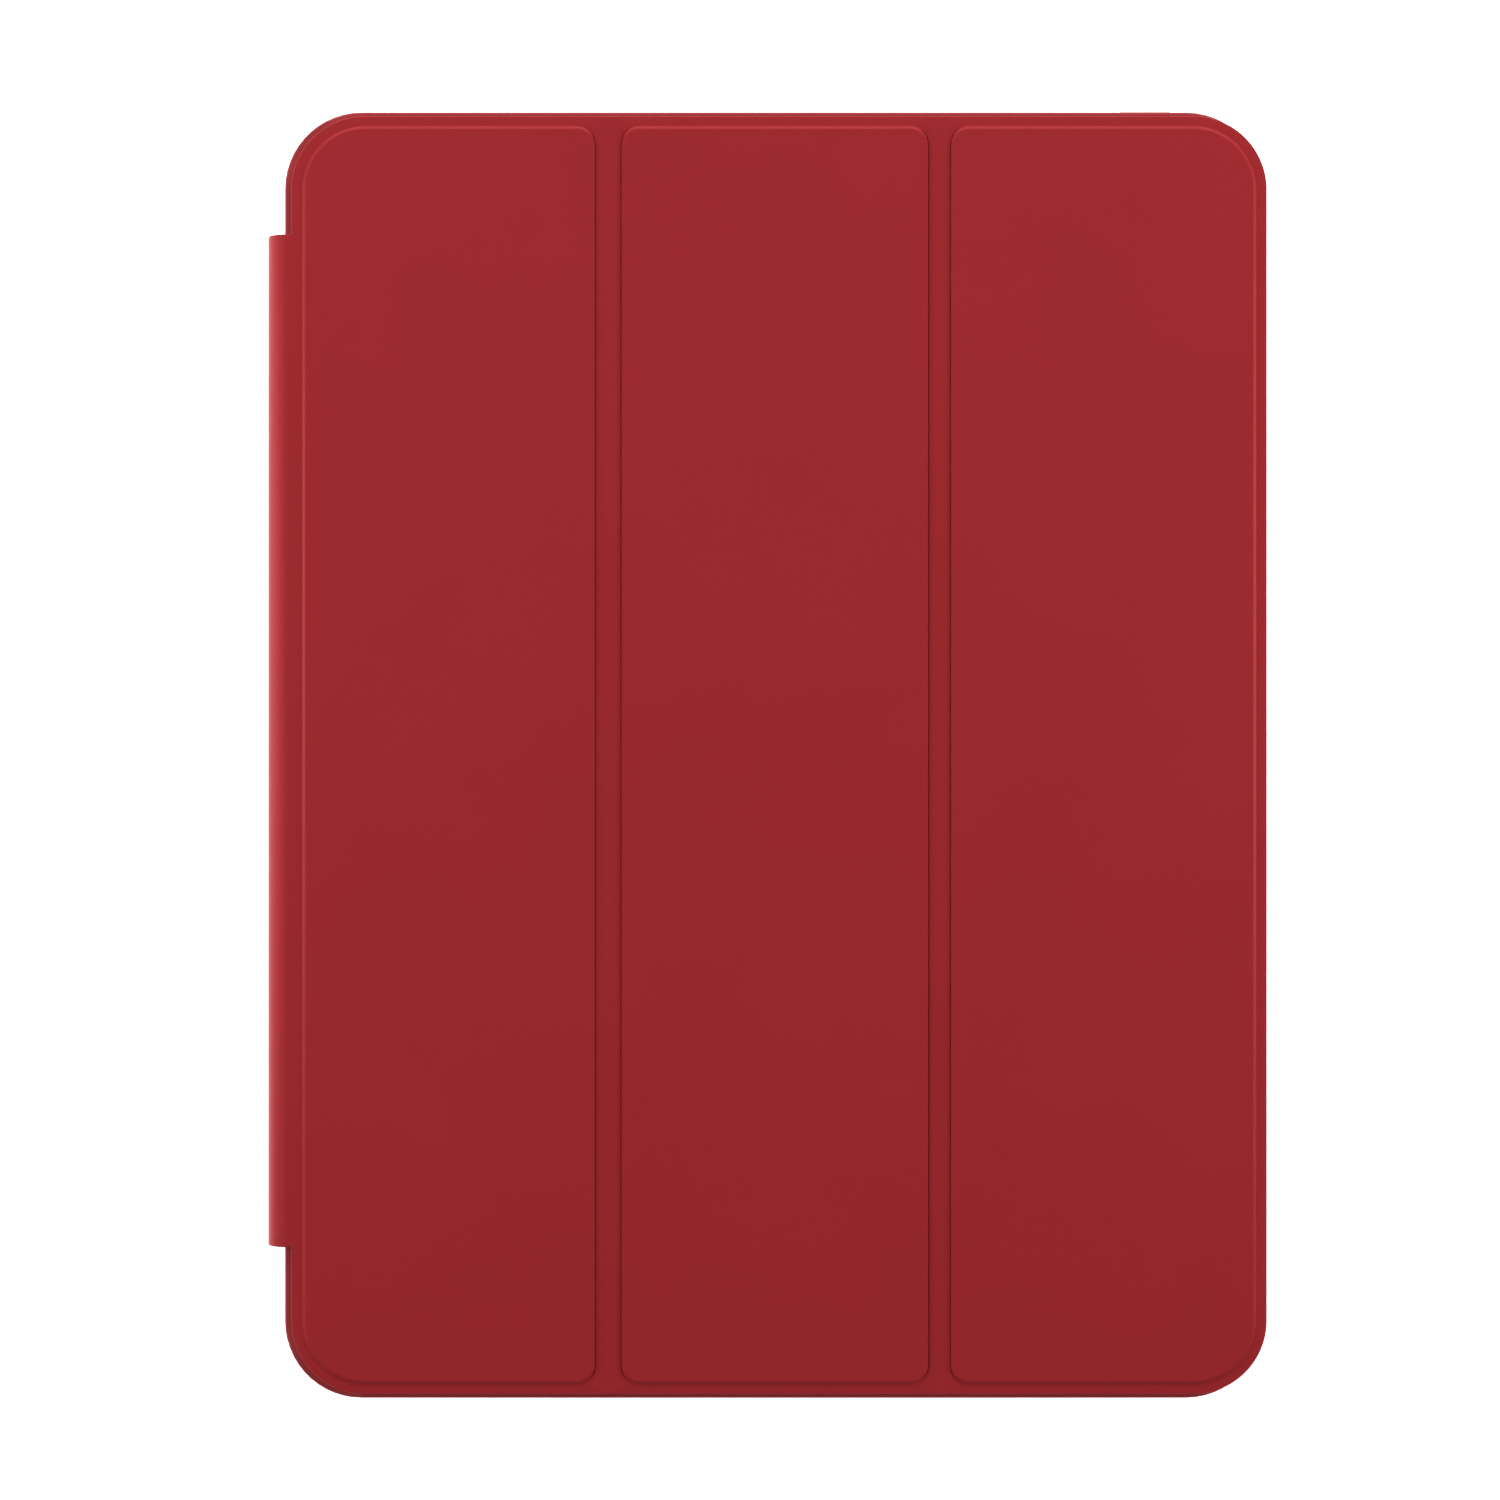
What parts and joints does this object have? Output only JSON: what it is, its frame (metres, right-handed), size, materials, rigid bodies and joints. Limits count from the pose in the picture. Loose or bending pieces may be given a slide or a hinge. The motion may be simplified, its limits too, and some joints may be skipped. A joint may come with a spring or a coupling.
{
  "type": "tablet folio case",
  "caption": "Closed tri-fold tablet folio case: moulded tray with an open side, rounded spine and a magnetic cover with raised panels that fold at two grooves.",
  "frame": {"origin": "middle of the bottom face of the whole closed case, on the surface that it lies on", "axes": "+X from the spine towards the opening edge, +Y along the spine towards the power button's edge, +Z from the back up through the cover"},
  "size_m": [0.2205, 0.2842, 0.0104],
  "materials": {
    "cover_leather": "smooth matte polyurethane leather with a very fine grain",
    "lining_microfibre": "short brushed microfibre suede",
    "shell_polycarbonate": "fine spark-eroded matte moulding",
    "stiffener_board": "plain glass-filled sheet",
    "magnet_nickel": "nickel plated"
  },
  "bodies": {
    "back_case": {"back_shell": "shell_polycarbonate", "back_strip_skin": "cover_leather", "spine_base_hinge_skin": "cover_leather", "spine_base_hinge_lining": "lining_microfibre"},
    "spine": {"spine_skin": "cover_leather", "spine_board": "stiffener_board", "spine_lining": "lining_microfibre", "spine_top_hinge_skin": "cover_leather", "spine_top_hinge_lining": "lining_microfibre"},
    "panel_1": {"panel_1_skin": "cover_leather", "panel_1_board": "stiffener_board", "panel_1_lining": "lining_microfibre", "fold_1_skin": "cover_leather", "fold_1_lining": "lining_microfibre", "stand_magnets": "magnet_nickel"},
    "panel_2": {"panel_2_skin": "cover_leather", "panel_2_board": "stiffener_board", "panel_2_lining": "lining_microfibre", "fold_2_skin": "cover_leather", "fold_2_lining": "lining_microfibre"},
    "panel_3": {"panel_3_skin": "cover_leather", "panel_3_board": "stiffener_board", "panel_3_lining": "lining_microfibre", "closure_magnets": "magnet_nickel", "sleep_magnet": "magnet_nickel"},
    "power_button": {"power_button": "shell_polycarbonate"}
  },
  "joints": [
    {"name": "spine_hinge", "type": "hinge", "parent": "back_case", "child": "spine", "pos_m": [-0.1075, 0, 0.00114], "axis": [0, -1, 0], "range_deg": [0, 178], "deforming": ["spine_base_hinge_skin", "spine_base_hinge_lining"]},
    {"name": "cover_hinge", "type": "hinge", "parent": "spine", "child": "panel_1", "pos_m": [-0.1075, 0, 0.00876], "axis": [0, -1, 0], "range_deg": [0, 178], "deforming": ["spine_top_hinge_skin", "spine_top_hinge_lining"]},
    {"name": "fold_1", "type": "hinge", "parent": "panel_1", "child": "panel_2", "pos_m": [-0.03475, 0, 0.0107], "axis": [0, 1, 0], "range_deg": [-178, 0], "deforming": ["fold_1_skin", "fold_1_lining"]},
    {"name": "fold_2", "type": "hinge", "parent": "panel_2", "child": "panel_3", "pos_m": [0.0382, 0, 0.0107], "axis": [0, -1, 0], "range_deg": [0, 178], "deforming": ["fold_2_skin", "fold_2_lining"]},
    {"name": "power_press", "type": "slide", "parent": "back_case", "child": "power_button", "axis": [0, -1, 0], "range_m": [0, 0.0005], "stiffness_N_per_m": 300}
  ]
}
